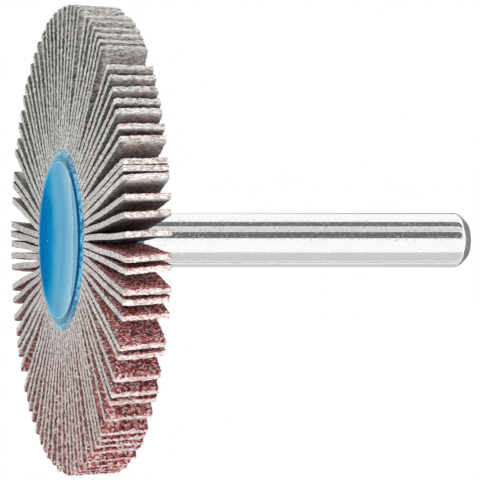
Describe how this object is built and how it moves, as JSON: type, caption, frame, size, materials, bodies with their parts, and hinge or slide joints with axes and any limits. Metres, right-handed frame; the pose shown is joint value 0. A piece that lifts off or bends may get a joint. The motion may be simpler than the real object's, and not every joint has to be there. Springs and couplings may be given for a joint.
{
  "type": "flap wheel",
  "caption": "Mounted flap wheel: a fan of coated abrasive flaps cast into a dished resin hub on a plain round shank, for grinding and polishing with a drill or die grinder.",
  "frame": {"origin": "centre of the hub's front face, on the axis; the wheel stands on the rim of that face, with the shank up", "axes": "+Z along the axis of rotation, from the front face to the shank's free end; seen from the shank, the flaps' grain faces clockwise"},
  "size_m": [0.0516, 0.0516, 0.0466],
  "materials": {
    "shank_steel": "polished",
    "hub_resin": "gloss",
    "abrasive_cloth": "matte"
  },
  "bodies": {
    "root": {"shank": "shank_steel", "hub_core": "hub_resin", "flap_pair_01": "abrasive_cloth", "flap_pair_02": "abrasive_cloth", "flap_pair_03": "abrasive_cloth", "flap_pair_04": "abrasive_cloth", "flap_pair_05": "abrasive_cloth", "flap_pair_06": "abrasive_cloth", "flap_pair_07": "abrasive_cloth", "flap_pair_08": "abrasive_cloth", "flap_pair_09": "abrasive_cloth", "flap_pair_10": "abrasive_cloth", "flap_pair_11": "abrasive_cloth", "flap_pair_12": "abrasive_cloth", "flap_pair_13": "abrasive_cloth", "flap_pair_14": "abrasive_cloth", "flap_pair_15": "abrasive_cloth", "flap_pair_16": "abrasive_cloth", "flap_pair_17": "abrasive_cloth", "flap_pair_18": "abrasive_cloth", "flap_pair_19": "abrasive_cloth", "flap_pair_20": "abrasive_cloth", "flap_pair_21": "abrasive_cloth", "flap_pair_22": "abrasive_cloth", "flap_pair_23": "abrasive_cloth", "flap_pair_24": "abrasive_cloth", "flap_pair_25": "abrasive_cloth", "flap_pair_26": "abrasive_cloth", "flap_pair_27": "abrasive_cloth", "flap_pair_28": "abrasive_cloth", "flap_pair_29": "abrasive_cloth", "flap_pair_30": "abrasive_cloth", "flap_pair_31": "abrasive_cloth", "flap_pair_32": "abrasive_cloth", "flap_pair_33": "abrasive_cloth", "flap_pair_34": "abrasive_cloth", "flap_pair_35": "abrasive_cloth", "flap_pair_36": "abrasive_cloth", "flap_pair_37": "abrasive_cloth", "flap_pair_38": "abrasive_cloth", "flap_pair_39": "abrasive_cloth", "flap_pair_40": "abrasive_cloth", "flap_pair_41": "abrasive_cloth", "flap_pair_42": "abrasive_cloth", "flap_pair_43": "abrasive_cloth"}
  },
  "joints": []
}
